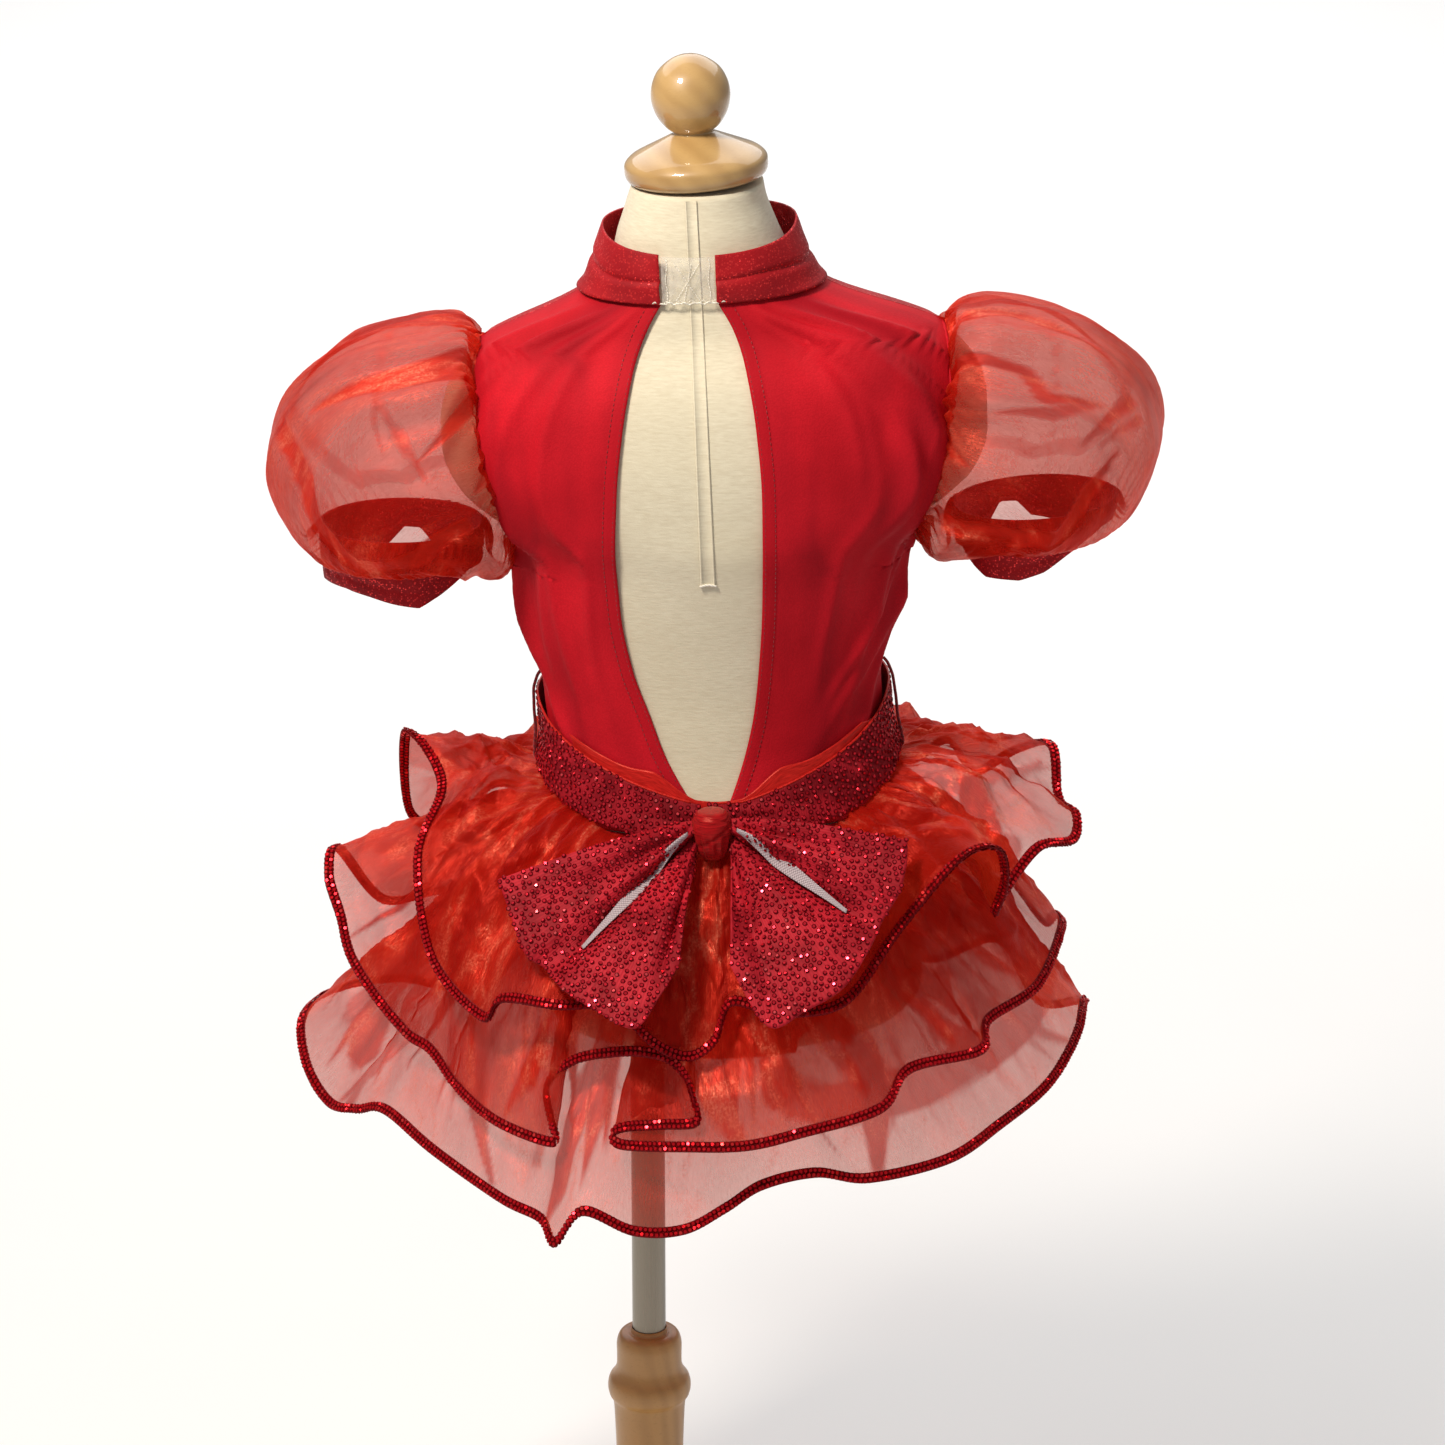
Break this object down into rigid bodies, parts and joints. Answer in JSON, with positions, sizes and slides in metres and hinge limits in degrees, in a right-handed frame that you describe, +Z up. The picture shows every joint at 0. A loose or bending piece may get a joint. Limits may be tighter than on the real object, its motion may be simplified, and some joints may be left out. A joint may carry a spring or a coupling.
{
  "type": "skirted leotard on a dress form",
  "caption": "Child's open-backed dance leotard with organza puff sleeves, sequin sash and bow and a ruffled skirt, worn by a small padded dress form on a turned stand.",
  "frame": {"origin": "centre of the underside of the round stand base, on the floor; the steel pole stands on this axis", "axes": "+Z up; the open back and the bow face -Y, the front faces +Y, and +X is to the right when the back is looked at"},
  "size_m": [0.5243, 0.4266, 1.0986],
  "materials": {
    "red_mesh": "fine stretch mesh, soft sheen",
    "red_glitter": "stretch cloth with foil glitter",
    "red_sequin": "small cup sequins on knit",
    "red_satin": "satin",
    "red_organza": "sheer organza with a bright sheen",
    "clear_tab": "clear elastic tab",
    "cream_jersey": "matt jersey over a padded form",
    "pale_maple": "clear gloss lacquer",
    "turned_wood": "satin lacquer",
    "brushed_steel": "polished tube"
  },
  "bodies": {
    "root": {"stand_base": "turned_wood", "stand_column": "turned_wood", "stand_pole": "brushed_steel", "form_torso": "cream_jersey", "neck_cap": "pale_maple", "back_left": "red_mesh", "back_right": "red_mesh", "front_bodice": "red_glitter", "brief_back": "red_mesh", "brief_front": "red_mesh", "collar": "red_glitter", "nape_tab": "clear_tab", "sleeve_left": "red_organza", "sleeve_right": "red_organza", "cuff_left": "red_glitter", "cuff_right": "red_glitter", "sash": "red_sequin", "sash_lining_left": "red_satin", "sash_lining_right": "red_satin", "belt_loop_left": "red_mesh", "belt_loop_right": "red_mesh", "bow_left": "red_sequin", "bow_right": "red_sequin", "bow_knot": "red_sequin", "skirt_tier_top": "red_organza", "skirt_tier_middle": "red_organza", "skirt_tier_low": "red_organza"}
  },
  "joints": []
}
